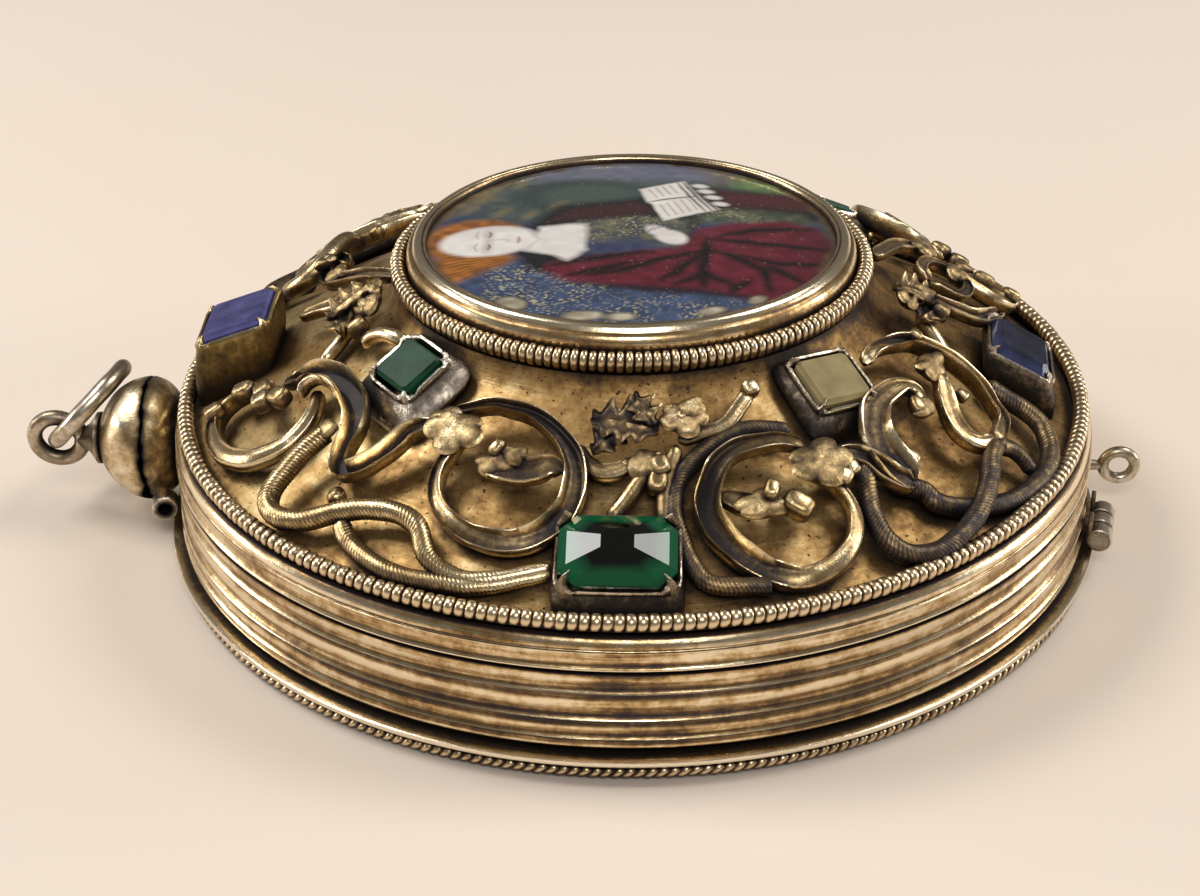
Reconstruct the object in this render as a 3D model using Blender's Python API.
"""Round silver-gilt capsule pendant, lying on its back.

A shallow drum with moulded sides carries a low conical front plate. On the plate
stand cast scrolls, leaf sprigs and eight stones in collets, and in its middle a
bezel holds a round enamel. A flanged back cover closes the drum and is hinged to
it beside the bottom loop. A hollow bead with an eye and a free ring is at the top.
Lengths below are millimetres, angles degrees; the top of the pendant points to -X.
"""
import math

import bpy
import bmesh
import numpy as np
from mathutils import Matrix

MM = 0.001

# Fits
GAP = 0.3
PIN_CLEARANCE = 0.25

# Drum
BODY_RADIUS = 41.3
DRUM_WALL = 1.3
COVER_SEAM = 0.55
BAND_HEIGHT = 6.7
MOULDING_HEIGHT = 2.7
SCOOP_DEPTH = 0.32

# Back cover
FLANGE_REACH = 1.0
COVER_SHEET = 0.8
FLANGE_TOP = 2.1
FLANGE_THICKNESS = 0.6
LIP_HEIGHT = 2.7
COVER_WIRE = 1.0

# Front plate
PLATE_FIT = 0.5
PLATE_SHEET = 0.8
PLATE_SLOPE = 29.25
PLATE_SINK = 0.2
COLLAR_RADIUS = 20.7
COLLAR_RISE = 1.4
COLLAR_FLARE = 0.7
COLLAR_LIP = 2.3

# Beaded wires on the front
RIM_WIRE = 1.4
MEDALLION_WIRE = 1.3
MEDALLION_WIRE_INSET = 0.15

# Medallion
BEZEL_HEIGHT = 3.25
BEZEL_RIM = 1.7
BEZEL_SHEET = 0.9
ENAMEL_THICKNESS = 1.1
ENAMEL_DOME = 0.55

# Collets and stones: width along the rim, length up the slope, and rise of the rim over the plate
LONG_STONE = (9.8, 7.0)
TALL_STONE = (8.4, 7.4)
RIGHT_STONE = (8.0, 6.8)
GREEN_STONE = (6.2, 5.8)
PALE_STONE = (6.4, 6.2)
LONG_RISE = 2.6
TALL_RISE = 5.2
RIGHT_RISE = 3.3
GREEN_RISE = 2.9
PALE_RISE = 2.5
COLLET_WALL = 0.5
CLAW_HEIGHT = 0.7
STONE_DEPTH = 1.3
STONE_CROWN = 0.7

# Cast scrolls and leaves; ring sizes are shares of the plate's radius
RING_LEFT = 0.1443
RING_CENTRE_LEFT = 0.1544
RING_CENTRE_RIGHT = 0.1696
RING_RIGHT = 0.1519
VINE_RADIUS = 0.9
BAND_WIDTH = 1.7
BAND_DEPTH = 1.5

# Suspension bead, eyes and rings
BEAD_RADIUS = 5.8
BEAD_OUTER_LENGTH = 5.0
BEAD_INNER_LENGTH = 3.4
BEAD_SHEET = 0.5
BEAD_SPLIT = 0.5
BEAD_NECK = 4.45
BEAD_AXIS_Z = 7.3
NECK_RADIUS = 2.4
EYE_WIRE = 1.5
EYE_RADIUS = 2.15
RING_WIRE = 1.6
RING_RADIUS = 4.45
RING_LEAN = 39.5
RING_SLACK = 0.2
RING_ACROSS = (-0.273, 0.846, -0.458)
BOTTOM_WIRE = 1.0
BOTTOM_RADIUS = 1.45
BOTTOM_REACH = 2.3
BOTTOM_AZIMUTH = -1.2
BOTTOM_Z = 4.35

# Hinge and catch
HINGE_AZIMUTH = -14.0
HINGE_TUBE = 2.2
HINGE_PIN = 1.15
KNUCKLE_LENGTH = 1.6
STRAP_HEIGHT = 2.2
STRAP_THICKNESS = 0.45
CATCH_AZIMUTH = -171.2
CATCH_TUBE = 2.4
CATCH_BORE = 1.3
CATCH_LENGTH = 1.8
CATCH_LIFT = 0.35

# Facets
DRUM_SIDES = 40
MEDALLION_SIDES = 32
ROPE_SIDES = 4
WIRE_SIDES = 5
SCROLL_SIDES = 12

# Radii and heights that follow from the stack of pieces
DRUM_BORE = BODY_RADIUS - DRUM_WALL
COVER_RADIUS = BODY_RADIUS + FLANGE_REACH
PLATE_RADIUS = DRUM_BORE - PLATE_FIT
RIM_WIRE_RADIUS = DRUM_BORE
COLLAR_HOLE = COLLAR_RADIUS - COLLAR_LIP
MEDALLION_WIRE_RADIUS = COLLAR_RADIUS - MEDALLION_WIRE_INSET
BAND_BOTTOM = FLANGE_TOP + COVER_SEAM
BAND_TOP = BAND_BOTTOM + BAND_HEIGHT
MOULDING_BOTTOM = BAND_TOP + GAP
MOULDING_TOP = MOULDING_BOTTOM + MOULDING_HEIGHT
RIM_WIRE_Z = MOULDING_TOP + GAP + RIM_WIRE / 2
PLATE_EDGE_Z = MOULDING_TOP - PLATE_SINK
PLATE_TANGENT = math.tan(math.radians(PLATE_SLOPE))
COLLAR_TOP = PLATE_EDGE_Z + (PLATE_RADIUS - COLLAR_RADIUS) * PLATE_TANGENT + COLLAR_RISE
MEDALLION_WIRE_Z = COLLAR_TOP + GAP + MEDALLION_WIRE / 2
BEZEL_BOTTOM = COLLAR_TOP + GAP
BEZEL_TOP = BEZEL_BOTTOM + BEZEL_HEIGHT
BEZEL_RADIUS = MEDALLION_WIRE_RADIUS - MEDALLION_WIRE / 2 - GAP
BEZEL_OPENING = BEZEL_RADIUS - BEZEL_RIM
HINGE_REACH = BODY_RADIUS + GAP + HINGE_TUBE / 2
HINGE_Z = FLANGE_TOP + GAP + HINGE_TUBE / 2

# Colours as linear values: worn gilding, tarnish, glass and enamel
GILT = ((0.52, 0.36, 0.16), 0.32, 1.0)
WORN = ((0.46, 0.36, 0.22), 0.36, 1.0)
DARK_SILVER = ((0.14, 0.12, 0.11), 0.42, 1.0)
MATT_GILT = ((0.38, 0.24, 0.09), 0.5, 1.0)
GREEN_GLASS = ((0.01, 0.12, 0.05), 0.08, 0.0)
BLUE_GLASS = ((0.05, 0.07, 0.22), 0.08, 0.0)
PALE_GLASS = ((0.3, 0.26, 0.14), 0.15, 0.0)
ENAMEL = ((0.14, 0.05, 0.09), 0.12, 0.0)


def clear_scene():
    """Empty the scene of objects."""
    for old in list(bpy.data.objects):
        bpy.data.objects.remove(old, do_unlink=True)


def finish_for(name, look):
    """Make the Principled BSDF material of one piece."""
    colour, roughness, metallic = look
    made = bpy.data.materials.new(name + "_finish")
    made.use_nodes = True
    shader = made.node_tree.nodes["Principled BSDF"]
    shader.inputs["Base Color"].default_value = (*colour, 1.0)
    shader.inputs["Roughness"].default_value = roughness
    shader.inputs["Metallic"].default_value = metallic
    return made


def mesh_of(name, points, faces):
    """Build a mesh in millimetres with its faces turned outwards."""
    mesh = bpy.data.meshes.new(name)
    mesh.from_pydata([tuple(point) for point in points], [], faces)
    work = bmesh.new()
    work.from_mesh(mesh)
    bmesh.ops.recalc_face_normals(work, faces=work.faces)
    work.to_mesh(mesh)
    work.free()
    return mesh


def place(name, mesh, look, matrix=None):
    """Put a millimetre mesh into the scene as one finished piece."""
    if matrix is not None:
        mesh.transform(matrix)
    mesh.transform(Matrix.Scale(MM, 4))
    mesh.materials.clear()
    mesh.materials.append(finish_for(name, look))
    mesh.shade_smooth()
    mesh.set_sharp_from_angle(angle=math.radians(35))
    piece = bpy.data.objects.new(name, mesh)
    bpy.context.scene.collection.objects.link(piece)
    return piece


def turned(name, profile, segments):
    """Turn a closed (radius, height) outline about Z; points on the axis close it."""
    angles = np.linspace(0.0, 2 * math.pi, segments, endpoint=False)
    points, rows = [], []
    for radius, height in profile:
        if radius == 0.0:
            rows.append([len(points)] * segments)
            points.append((0.0, 0.0, height))
        else:
            rows.append(list(range(len(points), len(points) + segments)))
            points.extend((radius * math.cos(a), radius * math.sin(a), height) for a in angles)
    faces = []
    for row in range(len(rows)):
        lower, upper = rows[row], rows[(row + 1) % len(rows)]
        if profile[row][0] == 0.0 and profile[(row + 1) % len(rows)][0] == 0.0:
            continue
        for k in range(segments):
            j = (k + 1) % segments
            corners = [lower[k], lower[j], upper[j], upper[k]]
            faces.append(list(dict.fromkeys(corners)))
    return mesh_of(name, points, faces)


def swept(name, route, across, upward, closed):
    """Sweep a four-sided section along a route; across and upward are half-size vectors."""
    count = len(route)
    points = np.concatenate([route + across, route + upward, route - across, route - upward])
    last = count if closed else count - 1
    faces = []
    for k in range(last):
        j = (k + 1) % count
        for side in range(4):
            turn = (side + 1) % 4
            faces.append([side * count + k, side * count + j, turn * count + j, turn * count + k])
    if not closed:
        faces.append([side * count for side in range(4)])
        faces.append([side * count + count - 1 for side in range(4)])
    return mesh_of(name, points, faces)


def wire_ring(name, radius, wire, segments, sides, height=0.0):
    """Make a round wire bent into a ring about Z."""
    turn = np.linspace(0.0, 2 * math.pi, sides, endpoint=False)
    profile = [(radius + wire / 2 * math.cos(a), height + wire / 2 * math.sin(a)) for a in turn]
    return turned(name, profile, segments)


def fused(name, meshes):
    """Join overlapping millimetre meshes into one body with exact unions."""
    pieces = []
    for index, mesh in enumerate(meshes):
        piece = bpy.data.objects.new(f"{name}_{index}", mesh)
        bpy.context.scene.collection.objects.link(piece)
        pieces.append(piece)
    for tool in pieces[1:]:
        union = pieces[0].modifiers.new("Union", "BOOLEAN")
        union.operation = "UNION"
        union.solver = "EXACT"
        union.object = tool
    view = bpy.context.evaluated_depsgraph_get()
    joined = bpy.data.meshes.new_from_object(pieces[0].evaluated_get(view))
    for piece in pieces:
        bpy.data.objects.remove(piece, do_unlink=True)
    return joined


def smooth_route(knots, count, closed=False):
    """Run a Catmull-Rom curve through knots and take evenly spaced points on it."""
    knots = np.asarray(knots, float)
    if closed:
        padded = np.vstack([knots[-1], knots, knots[0], knots[1]])
    else:
        padded = np.vstack([2 * knots[0] - knots[1], knots, 2 * knots[-1] - knots[-2]])
    samples = []
    steps = np.linspace(0.0, 1.0, 24, endpoint=False)[:, None]
    for a, b, c, d in zip(padded[:-3], padded[1:-2], padded[2:-1], padded[3:]):
        samples.append(0.5 * (2 * b + (c - a) * steps + (2 * a - 5 * b + 4 * c - d) * steps ** 2
                              + (3 * b - a - 3 * c + d) * steps ** 3))
    samples = np.vstack(samples + [padded[-2][None]])
    travel = np.concatenate([[0.0], np.cumsum(np.linalg.norm(np.diff(samples, axis=0), axis=1))])
    stops = np.linspace(0.0, travel[-1], count, endpoint=not closed)
    return np.stack([np.interp(stops, travel, samples[:, k]) for k in range(samples.shape[1])], 1)


def plate_height(radius):
    """Height of the front plate's top surface at a radius: a cone that flares at the collar."""
    flare = COLLAR_RISE * np.exp(-(radius - COLLAR_RADIUS) / COLLAR_FLARE)
    return PLATE_EDGE_Z + (PLATE_RADIUS - radius) * PLATE_TANGENT + flare


def plate_frame(azimuth):
    """Outward, sideways and normal directions of the conical plate at an azimuth."""
    turn = np.radians(azimuth)
    slope = math.radians(PLATE_SLOPE)
    level = np.stack([np.cos(turn), np.sin(turn), np.zeros_like(turn)], -1)
    sideways = np.stack([-np.sin(turn), np.cos(turn), np.zeros_like(turn)], -1)
    up = np.array([0.0, 0.0, 1.0])
    outward = level * math.cos(slope) - up * math.sin(slope)
    normal = level * math.sin(slope) + up * math.cos(slope)
    return outward, sideways, normal


def on_plate(radius, azimuth, lift):
    """Points over the plate, lift millimetres above its surface along the normal."""
    radius, azimuth, lift = (np.asarray(value, float) for value in (radius, azimuth, lift))
    turn = np.radians(azimuth)
    foot = np.stack([radius * np.cos(turn), radius * np.sin(turn), plate_height(radius)], -1)
    normal = plate_frame(azimuth)[2]
    return foot + normal * lift[..., None]


def share_to_radius(share):
    """Radius that lies a given share of the way from the collar to the plate's edge."""
    return COLLAR_RADIUS + (PLATE_RADIUS - COLLAR_RADIUS) * share


def make_back_cover():
    """Dished sheet with a flange and an upstanding lip that fits the drum."""
    lip_out = DRUM_BORE - GAP
    lip_in = lip_out - COVER_SHEET
    wall = COVER_RADIUS - COVER_WIRE - 2 * GAP
    flange_bottom = FLANGE_TOP - FLANGE_THICKNESS
    profile = [(0.0, 0.0), (wall - 0.6, 0.0), (wall, 0.6), (wall, flange_bottom),
               (COVER_RADIUS, flange_bottom), (COVER_RADIUS, FLANGE_TOP), (lip_out, FLANGE_TOP),
               (lip_out, FLANGE_TOP + LIP_HEIGHT), (lip_in, FLANGE_TOP + LIP_HEIGHT),
               (lip_in, COVER_SHEET), (0.0, COVER_SHEET)]
    place("back_cover", turned("back_cover", profile, DRUM_SIDES), WORN)
    height = flange_bottom - GAP - COVER_WIRE / 2
    radius = wall + GAP + COVER_WIRE / 2
    wire = wire_ring("back_cover_rope", radius, COVER_WIRE, DRUM_SIDES, ROPE_SIDES, height)
    place("back_cover_rope", wire, WORN)


def make_drum():
    """Two moulded bands: sharp ridges with shallow scoops between them."""
    low = BODY_RADIUS - SCOOP_DEPTH
    profile = [(BODY_RADIUS, BAND_BOTTOM), (BODY_RADIUS, BAND_BOTTOM + 0.13 * BAND_HEIGHT),
               (low, BAND_BOTTOM + 0.23 * BAND_HEIGHT),
               (BODY_RADIUS - 0.1, BAND_BOTTOM + 0.38 * BAND_HEIGHT),
               (low - 0.1, BAND_BOTTOM + 0.56 * BAND_HEIGHT),
               (BODY_RADIUS - 0.15, BAND_BOTTOM + 0.75 * BAND_HEIGHT),
               (low - 0.05, BAND_BOTTOM + 0.9 * BAND_HEIGHT), (BODY_RADIUS - 0.1, BAND_TOP),
               (DRUM_BORE, BAND_TOP), (DRUM_BORE, BAND_BOTTOM)]
    place("side_band", turned("side_band", profile, DRUM_SIDES), GILT)
    profile = [(BODY_RADIUS - 0.1, MOULDING_BOTTOM),
               (low - 0.1, MOULDING_BOTTOM + 0.3 * MOULDING_HEIGHT),
               (BODY_RADIUS - 0.3, MOULDING_BOTTOM + 0.66 * MOULDING_HEIGHT),
               (BODY_RADIUS - 0.7, MOULDING_TOP), (DRUM_BORE, MOULDING_TOP),
               (DRUM_BORE, MOULDING_BOTTOM)]
    place("rim_moulding", turned("rim_moulding", profile, DRUM_SIDES), GILT)


def make_front_plate():
    """Conical sheet that flares up into a collar and turns in to carry the bezel."""
    radii = [PLATE_RADIUS, COLLAR_RADIUS + 2.4, COLLAR_RADIUS + 0.7, COLLAR_RADIUS]
    top = [(radius, float(plate_height(radius))) for radius in radii]
    inner = COLLAR_RADIUS - PLATE_SHEET
    drop = PLATE_SHEET / math.cos(math.radians(PLATE_SLOPE))
    under = [(COLLAR_HOLE, COLLAR_TOP), (COLLAR_HOLE, COLLAR_TOP - PLATE_SHEET),
             (inner, COLLAR_TOP - PLATE_SHEET), (radii[1] - 0.5, top[1][1] - drop + 0.3),
             (PLATE_RADIUS, top[0][1] - drop)]
    place("front_plate", turned("front_plate", top + under, DRUM_SIDES), MATT_GILT)
    rim = wire_ring("rim_rope", RIM_WIRE_RADIUS, RIM_WIRE, DRUM_SIDES, ROPE_SIDES, RIM_WIRE_Z)
    place("rim_rope", rim, WORN)


def make_medallion():
    """Rounded bezel with a beaded wire round its foot, and the domed enamel in it."""
    seat = BEZEL_OPENING + GAP
    lip = BEZEL_TOP - 0.4
    shelf = lip - GAP - ENAMEL_THICKNESS - GAP
    middle = (BEZEL_RADIUS + BEZEL_OPENING) / 2
    profile = [(BEZEL_RADIUS, BEZEL_BOTTOM), (BEZEL_RADIUS, BEZEL_TOP - 1.1),
               (middle + 0.4, BEZEL_TOP - 0.1), (middle - 0.2, BEZEL_TOP),
               (BEZEL_OPENING, lip), (seat + 0.2, lip - GAP / 2),
               (seat + 0.2, shelf), (seat - BEZEL_SHEET, shelf), (seat - BEZEL_SHEET, shelf - BEZEL_SHEET),
               (BEZEL_RADIUS - BEZEL_SHEET, BEZEL_BOTTOM)]
    place("medallion_bezel", turned("medallion_bezel", profile, MEDALLION_SIDES), GILT)
    wire = wire_ring("medallion_rope", MEDALLION_WIRE_RADIUS, MEDALLION_WIRE, MEDALLION_SIDES,
                     ROPE_SIDES, MEDALLION_WIRE_Z)
    place("medallion_rope", wire, WORN)
    bottom = shelf + GAP
    edge = bottom + ENAMEL_THICKNESS
    profile = [(0.0, bottom), (BEZEL_OPENING, bottom), (BEZEL_OPENING, edge),
               (BEZEL_OPENING * 0.6, edge + ENAMEL_DOME * 0.64), (0.0, edge + ENAMEL_DOME)]
    place("enamel_plaque", turned("enamel_plaque", profile, MEDALLION_SIDES), ENAMEL)


def rounded_box(width, length, corner, peak):
    """Outline of a box with cut corners: rows of (sideways, outward, rise), three per corner."""
    outline = []
    for side, out in ((1, 1), (-1, 1), (-1, -1), (1, -1)):
        flat = (side * width, out * (length - corner), 0.0)
        tip = (side * (width - corner * 0.3), out * (length - corner * 0.3), peak)
        next_flat = (side * (width - corner), out * length, 0.0)
        outline += [flat, tip, next_flat] if side * out > 0 else [next_flat, tip, flat]
    return np.array(outline)


def make_stone(name, where, share, azimuth, size, tilt, height, twist, ridge, look):
    """A sheet collet with corner claws on the plate, and the cut stone that it holds."""
    radius = share_to_radius(share)
    width, length = size[0] / 2, size[1] / 2
    sideways = plate_frame(np.asarray(float(azimuth)))[1]
    lean = math.radians(tilt)
    level = np.array([math.cos(math.radians(azimuth)), math.sin(math.radians(azimuth)), 0.0])
    up = np.array([0.0, 0.0, 1.0])
    face_out = level * math.cos(lean) - up * math.sin(lean)
    face_normal = level * math.sin(lean) + up * math.cos(lean)
    spin = math.radians(twist)
    side_axis = sideways * math.cos(spin) + face_out * math.sin(spin)
    out_axis = face_out * math.cos(spin) - sideways * math.sin(spin)
    centre = level * radius + up * (float(plate_height(radius)) + height)

    def loop_at(half_width, half_length, corner, peak, lift):
        flat = rounded_box(half_width, half_length, corner, peak)
        return (centre + flat[:, :1] * side_axis + flat[:, 1:2] * out_axis
                + (flat[:, 2:] + lift) * face_normal)

    def dropped(loop):
        reach = np.hypot(loop[:, 0], loop[:, 1])
        foot = loop.copy()
        foot[:, 2] = PLATE_EDGE_Z + (PLATE_RADIUS - np.minimum(reach, PLATE_RADIUS)) * PLATE_TANGENT
        near_collar = COLLAR_RISE * np.exp(-(reach - COLLAR_RADIUS) / COLLAR_FLARE)
        foot[:, 2] += np.minimum(near_collar, COLLAR_RISE) + GAP / math.cos(math.radians(PLATE_SLOPE))
        return foot

    corner = 0.3 * min(width, length)
    outer_top = loop_at(width, length, corner, CLAW_HEIGHT, 0.0)
    inner_top = loop_at(width - COLLET_WALL, length - COLLET_WALL, corner, CLAW_HEIGHT, 0.0)
    outer_foot = dropped(loop_at(width * 0.94, length * 0.94, corner, 0.0, 0.0))
    inner_foot = dropped(loop_at(width * 0.94 - COLLET_WALL, length * 0.94 - COLLET_WALL, corner, 0.0, 0.0))
    loops = [outer_foot, outer_top, inner_top, inner_foot]
    count = len(outer_top)
    faces = []
    for row in range(4):
        other = (row + 1) % 4
        for k in range(count):
            j = (k + 1) % count
            faces.append([row * count + k, row * count + j, other * count + j, other * count + k])
    place(f"{name}_collet_{where}", mesh_of(name, np.vstack(loops), faces), DARK_SILVER)

    half_width = width * 0.94 - COLLET_WALL - GAP
    half_length = length * 0.94 - COLLET_WALL - GAP
    cut = 0.35 * min(half_width, half_length)

    def outline_at(half_width, half_length, corner, lift):
        flat = np.delete(rounded_box(half_width, half_length, corner, 0.0), [1, 4, 7, 10], axis=0)
        return centre + flat[:, :1] * side_axis + flat[:, 1:2] * out_axis + lift * face_normal

    table_width = half_width * (0.35 if ridge else 0.72)
    table_length = half_length * (0.12 if ridge else 0.72)
    girdle = outline_at(half_width, half_length, cut, -GAP)
    pavilion = outline_at(half_width * 0.6, half_length * 0.6, cut * 0.6, -STONE_DEPTH)
    table = outline_at(table_width, table_length, 0.3 * min(table_width, table_length), STONE_CROWN)
    count = len(girdle)
    faces = [list(range(count)), list(range(2 * count, 3 * count))]
    for row in range(2):
        for k in range(count):
            j = (k + 1) % count
            faces.append([row * count + k, row * count + j, (row + 1) * count + j, (row + 1) * count + k])
    stone = mesh_of(name, np.vstack([pavilion, girdle, table]), faces)
    place(f"{name}_stone_{where}", stone, look)


def make_stones():
    """Four stones by the rim and four smaller ones against the collar."""
    make_stone("rim", "front", 0.79, -91.8, LONG_STONE, 26.0, LONG_RISE, 0.0, True, GREEN_GLASS)
    make_stone("rim", "left", 0.777, 180.0, TALL_STONE, 19.0, TALL_RISE, 0.0, False, BLUE_GLASS)
    make_stone("rim", "right", 0.729, -7.5, RIGHT_STONE, 27.5, RIGHT_RISE, 0.0, False, BLUE_GLASS)
    make_stone("rim", "back", 0.79, 88.2, LONG_STONE, 26.0, LONG_RISE, 0.0, True, GREEN_GLASS)
    make_stone("inner", "front_left", 0.229, -135.8, GREEN_STONE, 28.0, GREEN_RISE, 7.0, False, GREEN_GLASS)
    make_stone("inner", "front_right", 0.229, -49.5, PALE_STONE, 24.0, PALE_RISE, 10.0, False, PALE_GLASS)
    make_stone("inner", "back_right", 0.229, 44.2, GREEN_STONE, 28.0, GREEN_RISE, 7.0, False, GREEN_GLASS)
    make_stone("inner", "back_left", 0.229, 130.5, PALE_STONE, 24.0, PALE_RISE, 10.0, False, PALE_GLASS)


def strip(name, knots, diagonal, half_width, half_depth, count, round_bar):
    """A vine or a leaf band over the plate through (share, degrees, lift) knots."""
    knots = np.asarray(knots, float)
    track = on_plate(share_to_radius(knots[:, 0]), diagonal + knots[:, 1], knots[:, 2])
    route = smooth_route(track, count)
    normal = plate_frame(np.degrees(np.arctan2(route[:, 1], route[:, 0])))[2]
    forward = np.gradient(route, axis=0)
    sideways = np.cross(normal, forward)
    sideways /= np.linalg.norm(sideways, axis=1, keepdims=True)
    share = np.linspace(0.0, 1.0, count)
    width = np.interp(share, np.linspace(0.0, 1.0, len(half_width)), half_width)[:, None]
    depth = np.interp(share, np.linspace(0.0, 1.0, len(half_depth)), half_depth)[:, None]
    if round_bar:
        return swept(name, route, sideways * width, normal * depth, False)
    across = sideways * width + normal * depth
    upward = sideways * width - normal * depth
    return swept(name, route, across, upward, False)


def scroll_ring(name, share, azimuth, size, lift, start=0.0, sweep=360.0):
    """An open scroll: a band bent to a circle that lies on the plate."""
    radius = size * PLATE_RADIUS
    outward, sideways, normal = plate_frame(np.asarray(float(azimuth)))
    centre = on_plate(share_to_radius(share), azimuth, lift)
    closed = sweep >= 360
    turn = np.radians(start + np.linspace(0.0, sweep, SCROLL_SIDES, endpoint=not closed))
    ray = np.cos(turn)[:, None] * sideways + np.sin(turn)[:, None] * -outward
    swell = 1.0 + 0.25 * np.cos(turn - math.radians(180.0))[:, None]
    across = ray * BAND_WIDTH / 2 * swell
    return swept(name, centre + ray * (radius - BAND_WIDTH / 2), across, normal * BAND_DEPTH / 2, closed)


def knob(name, share, azimuth, lift, size):
    """A cast leaf knob: a flattened eight-sided lump on the plate's normal."""
    outward, sideways, normal = plate_frame(np.asarray(float(azimuth)))
    centre = on_plate(share_to_radius(share), azimuth, lift)
    turn = np.radians(np.arange(0, 360, 60) + 11.0)
    ring = centre + np.cos(turn)[:, None] * sideways * size[0] + np.sin(turn)[:, None] * outward * size[1]
    points = np.vstack([ring, centre + normal * size[2], centre - normal * size[2]])
    faces = []
    for k in range(6):
        j = (k + 1) % 6
        faces += [[k, j, 6], [j, k, 7]]
    return mesh_of(name, points, faces)


def make_casting(where, diagonal, west):
    """One quarter of the scrollwork: two rings, an S-shaped leaf and bark-cut vines."""
    name = f"scroll_casting_{where}"
    vine = [VINE_RADIUS]
    leaf_width = [0.5, 0.9, 1.35, 1.2, 0.8, 0.9, 1.1, 0.7]
    leaf_depth = [0.55, 0.8, 0.9, 0.8, 0.6, 0.7, 0.8, 0.6]
    if west:
        parts = [
            scroll_ring(name, 0.65, diagonal - 19.2, RING_LEFT, 1.15),
            scroll_ring(name, 0.485, diagonal + 25.1, RING_CENTRE_LEFT, 1.25),
            strip(name, [(0.45, -25.0, 2.0), (0.42, -18.5, 2.2), (0.42, -11.5, 2.0), (0.49, -5.4, 1.7),
                         (0.64, -2.2, 1.5), (0.71, 1.9, 1.5), (0.6, 5.2, 1.9), (0.44, 9.0, 2.2),
                         (0.38, 14.5, 1.8)], diagonal, leaf_width, leaf_depth, 11, False),
            strip(name, [(0.59, -8.2, 2.9), (0.69, -10.4, 1.8), (0.83, -9.0, 1.8), (0.9, -5.6, 1.8),
                         (0.885, -1.0, 1.8), (0.8, 3.2, 2.0), (0.73, 8.0, 2.2), (0.745, 13.2, 2.0),
                         (0.81, 18.5, 1.7), (0.8, 23.0, 1.4), (0.73, 27.0, 1.4)],
                  diagonal, vine, vine, 14, True),
            strip(name, [(0.78, 3.4, 1.5), (0.84, 7.5, 1.3), (0.885, 12.5, 1.3), (0.89, 17.5, 1.3),
                         (0.82, 23.0, 1.35)], diagonal, vine, vine, 6, True),
            knob(name, 0.37, diagonal + 13.6, 2.9, (1.7, 1.3, 1.0)),
            strip(name, [(0.49, 32.5, 1.6), (0.42, 27.5, 1.9), (0.5, 23.5, 2.2)], diagonal,
                  [1.0, 0.9, 0.6], [0.8, 0.9, 0.6], 5, False),
            strip(name, [(0.43, -19.2, 1.2), (0.58, -16.5, 1.5), (0.66, -19.5, 1.7)], diagonal,
                  [0.9, 0.9, 0.5], [0.7, 0.8, 0.5], 4, False),
        ]
    else:
        parts = [
            scroll_ring(name, 0.62, diagonal - 25.5, RING_CENTRE_RIGHT, 1.2),
            scroll_ring(name, 0.475, diagonal + 13.4, RING_RIGHT, 1.4, -70.0, 230.0),
            strip(name, [(0.53, -15.2, 1.8), (0.63, -9.8, 1.8), (0.725, -4.6, 1.6), (0.66, -0.2, 1.6),
                         (0.53, 2.2, 1.8), (0.43, 6.0, 2.0), (0.44, 10.8, 2.1), (0.56, 11.9, 2.1)],
                  diagonal, leaf_width[::-1], leaf_depth[::-1], 10, False),
            strip(name, [(0.66, -8.3, 1.7), (0.76, -10.8, 1.6), (0.88, -8.8, 1.6), (0.92, -4.0, 1.7),
                         (0.915, 1.2, 2.0), (0.875, 7.0, 2.5), (0.79, 12.0, 2.8), (0.71, 15.3, 2.6)],
                  diagonal, vine, vine, 11, True),
            strip(name, [(0.64, 27.2, 1.5), (0.8, 27.6, 1.5), (0.88, 23.3, 1.4), (0.885, 15.5, 1.25),
                         (0.86, 8.5, 1.2), (0.81, 2.5, 1.2), (0.74, -3.0, 1.2)],
                  diagonal, vine, vine, 10, True),
            strip(name, [(0.73, 15.5, 2.4), (0.6, 12.5, 2.6), (0.45, 15.0, 2.8), (0.33, 18.0, 3.0)],
                  diagonal, [0.8, 1.0, 1.0, 0.6], [0.7, 0.9, 0.8, 0.6], 5, False),
            knob(name, 0.52, diagonal - 14.6, 2.5, (1.7, 1.3, 1.0)),
            strip(name, [(0.62, -33.5, 1.6), (0.7, -27.0, 1.9), (0.58, -23.5, 2.3)], diagonal,
                  [1.0, 0.9, 0.6], [0.8, 0.9, 0.6], 5, False),
        ]
    place(name, fused(name, parts), GILT)


def make_sprig(where, azimuth):
    """A frilled leaf and a blossom on forked stems, between the collar and a rim stone."""
    name = f"leaf_sprig_{where}"
    stem = [VINE_RADIUS * 0.8]
    parts = [
        strip(name, [(0.5, 0.0, 1.2), (0.36, 0.5, 1.4), (0.23, -1.0, 1.9)], azimuth, stem, stem, 4, True),
        strip(name, [(0.3, 0.0, 1.5), (0.37, -4.0, 1.3), (0.34, -7.2, 1.2)], azimuth, stem, stem, 4, True),
        strip(name, [(0.42, 1.5, 1.3), (0.3, 7.5, 1.3), (0.18, 15.0, 1.3)], azimuth, stem, stem, 5, True),
        knob(name, 0.2, azimuth - 3.5, 2.6, (2.6, 1.7, 1.1)),
        knob(name, 0.18, azimuth + 4.0, 2.6, (2.0, 1.6, 1.2)),
    ]
    place(name, fused(name, parts), GILT)


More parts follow.
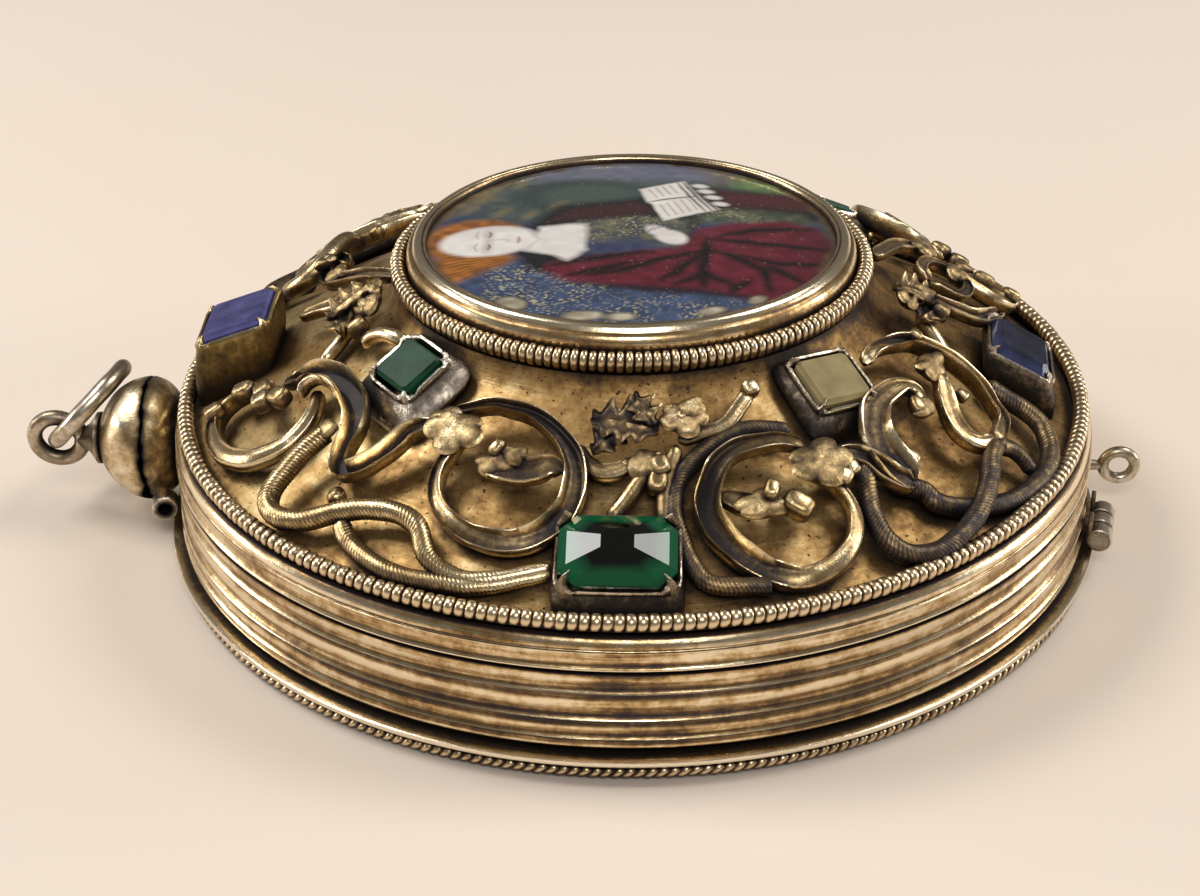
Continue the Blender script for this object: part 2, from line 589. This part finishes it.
def shell_cup(name, near, far, half_length, sign):
    """One half of the hollow bead, open at the split, closed by a flat end."""
    stops = np.linspace(near, far, 4)
    outer = [(BEAD_RADIUS * math.sqrt(1 - (x / half_length) ** 2), sign * x) for x in stops]
    floor = far - BEAD_SHEET
    inner_stops = np.linspace(floor, near, 3)
    inner = [(BEAD_RADIUS * math.sqrt(1 - (x / half_length) ** 2) - BEAD_SHEET, sign * x)
             for x in inner_stops]
    return turned(name, outer + [(0.0, sign * far), (0.0, sign * floor)] + inner, 16)


def make_suspension():
    """Split hollow bead on the drum's top side, its eye on a cone, and the free ring."""
    along_x = Matrix.Rotation(math.radians(-90), 4, "Y")
    inner_end = BEAD_INNER_LENGTH * math.sqrt(1 - (3.65 / BEAD_RADIUS) ** 2)
    centre_x = -(BODY_RADIUS + GAP + inner_end)
    stand = Matrix.Translation((centre_x, 0.0, BEAD_AXIS_Z)) @ along_x
    near = BEAD_SPLIT / 2
    inner_cup = shell_cup("bead_inner_half", near, inner_end, BEAD_INNER_LENGTH, -1)
    place("bead_inner_half", inner_cup, MATT_GILT, stand)
    outer_cup = shell_cup("bead_outer_half", near, BEAD_NECK, BEAD_OUTER_LENGTH, 1)
    place("bead_outer_half", outer_cup, GILT, stand)

    cone_start = BEAD_NECK + GAP
    eye_x = cone_start + 1.2 + EYE_RADIUS + EYE_WIRE / 2
    cone = turned("cone", [(0.0, cone_start), (NECK_RADIUS, cone_start), (NECK_RADIUS, cone_start + 0.4),
                           (0.85, cone_start + 2.0), (0.0, cone_start + 2.0)], 10)
    eye = wire_ring("eye", EYE_RADIUS, EYE_WIRE, 14, WIRE_SIDES)
    eye.transform(Matrix.Translation((0.0, 0.0, eye_x)) @ Matrix.Rotation(math.radians(90), 4, "X"))
    place("suspension_eye", fused("suspension_eye", [eye, cone]), WORN, stand)

    ring = wire_ring("free_ring", RING_RADIUS, RING_WIRE, 18, WIRE_SIDES)
    eye_point = np.array([centre_x - eye_x, 0.0, BEAD_AXIS_Z])
    across = np.array(RING_ACROSS) / np.linalg.norm(RING_ACROSS)
    level = np.cross(across, (0.0, 0.0, 1.0))
    level /= np.linalg.norm(level)
    lean = math.radians(RING_LEAN)
    rise = math.cos(lean) * level + math.sin(lean) * np.cross(level, across)
    normal = np.cross(across, rise)
    basis = Matrix([[rise[k], across[k], -normal[k], 0.0] for k in range(3)] + [[0.0, 0.0, 0.0, 1.0]])
    centre = eye_point + rise * (RING_RADIUS - RING_SLACK)
    place("free_ring", ring, WORN, Matrix.Translation(centre) @ basis)

    stem_start = BODY_RADIUS + GAP
    loop_x = BODY_RADIUS + GAP + BOTTOM_REACH + BOTTOM_RADIUS - BOTTOM_WIRE / 2
    loop = wire_ring("loop", BOTTOM_RADIUS, BOTTOM_WIRE, 12, WIRE_SIDES)
    loop.transform(Matrix.Translation((0.0, 0.0, loop_x)) @ Matrix.Rotation(math.radians(90), 4, "X"))
    stem_end = loop_x - BOTTOM_RADIUS
    stem = turned("stem", [(0.0, stem_start), (0.9, stem_start), (0.5, stem_start + 0.6),
                           (0.5, stem_end), (0.0, stem_end)], 8)
    turn = Matrix.Rotation(math.radians(BOTTOM_AZIMUTH), 4, "Z") @ Matrix.Rotation(math.radians(90), 4, "Y")
    stand = Matrix.Translation((0.0, 0.0, BOTTOM_Z)) @ turn
    place("bottom_loop", fused("bottom_loop", [loop, stem]), WORN, stand)


def tube(name, outer, bore, start, end):
    """A straight tube along Z."""
    profile = [(outer / 2, start), (outer / 2, end), (bore / 2, end), (bore / 2, start)]
    return turned(name, profile, 12)


def slab(name, low, high):
    """A box between two corners."""
    xs, ys, zs = zip(low, high)
    points = [(x, y, z) for z in zs for y in ys for x in xs]
    faces = [[0, 1, 3, 2], [4, 5, 7, 6], [0, 1, 5, 4], [2, 3, 7, 6], [0, 2, 6, 4], [1, 3, 7, 5]]
    return mesh_of(name, points, faces)


def hinge_stand(azimuth, reach, height):
    """Frame with Z along the tangent of the drum, X outwards and Y upwards."""
    turn = math.radians(azimuth)
    out = (math.cos(turn), math.sin(turn), 0.0)
    along = (-math.sin(turn), math.cos(turn), 0.0)
    columns = [out, (0.0, 0.0, 1.0), tuple(-value for value in along)]
    rotation = Matrix([[columns[c][r] for c in range(3)] for r in range(3)]).to_4x4()
    return Matrix.Translation((out[0] * reach, out[1] * reach, height)) @ rotation


def make_hinge():
    """Two knuckles strapped to the drum, one on the cover's flange, and their pin."""
    stand = hinge_stand(HINGE_AZIMUTH, HINGE_REACH, HINGE_Z)
    bore = HINGE_PIN + 2 * PIN_CLEARANCE
    half = KNUCKLE_LENGTH / 2
    pitch = KNUCKLE_LENGTH + GAP
    wall = HINGE_TUBE / 2
    for where, middle in (("near", pitch), ("far", -pitch)):
        barrel = tube("barrel", HINGE_TUBE, bore, middle - half, middle + half)
        strap = slab("strap", (-wall, 0.3 * wall, middle - half + 0.05),
                     (-wall + STRAP_THICKNESS, STRAP_HEIGHT, middle + half - 0.05))
        place(f"hinge_case_knuckle_{where}", fused(where, [barrel, strap]), WORN, stand)
    barrel = tube("barrel", HINGE_TUBE, bore, -half, half)
    foot = slab("foot", (-0.6 * wall, -wall - 0.05, -half + 0.05), (0.1 * wall, -0.85 * wall, half - 0.05))
    place("hinge_cover_knuckle", fused("hinge_cover_knuckle", [barrel, foot]), WORN, stand)
    reach = pitch + half - 0.15
    pin = turned("pin", [(0.0, -reach), (HINGE_PIN / 2, -reach), (HINGE_PIN / 2, reach), (0.0, reach)], 10)
    place("hinge_pin", pin, GILT, stand)


def make_catch():
    """A short open tube on the drum beside the bead."""
    reach = BODY_RADIUS + GAP + CATCH_TUBE / 2
    height = FLANGE_TOP + GAP + CATCH_LIFT + CATCH_TUBE / 2
    stand = hinge_stand(CATCH_AZIMUTH, reach, height)
    barrel = tube("catch_tube", CATCH_TUBE, CATCH_BORE, -CATCH_LENGTH / 2, CATCH_LENGTH / 2)
    place("catch_tube", barrel, DARK_SILVER, stand)


clear_scene()
make_back_cover()
make_drum()
make_front_plate()
make_medallion()
make_stones()
make_casting("front_left", -135.0, True)
make_casting("front_right", -45.0, False)
make_casting("back_right", 45.0, True)
make_casting("back_left", 135.0, False)
make_sprig("front", -88.0)
make_sprig("left", -168.0)
make_sprig("right", -10.0)
make_sprig("back", 92.0)
make_suspension()
make_hinge()
make_catch()
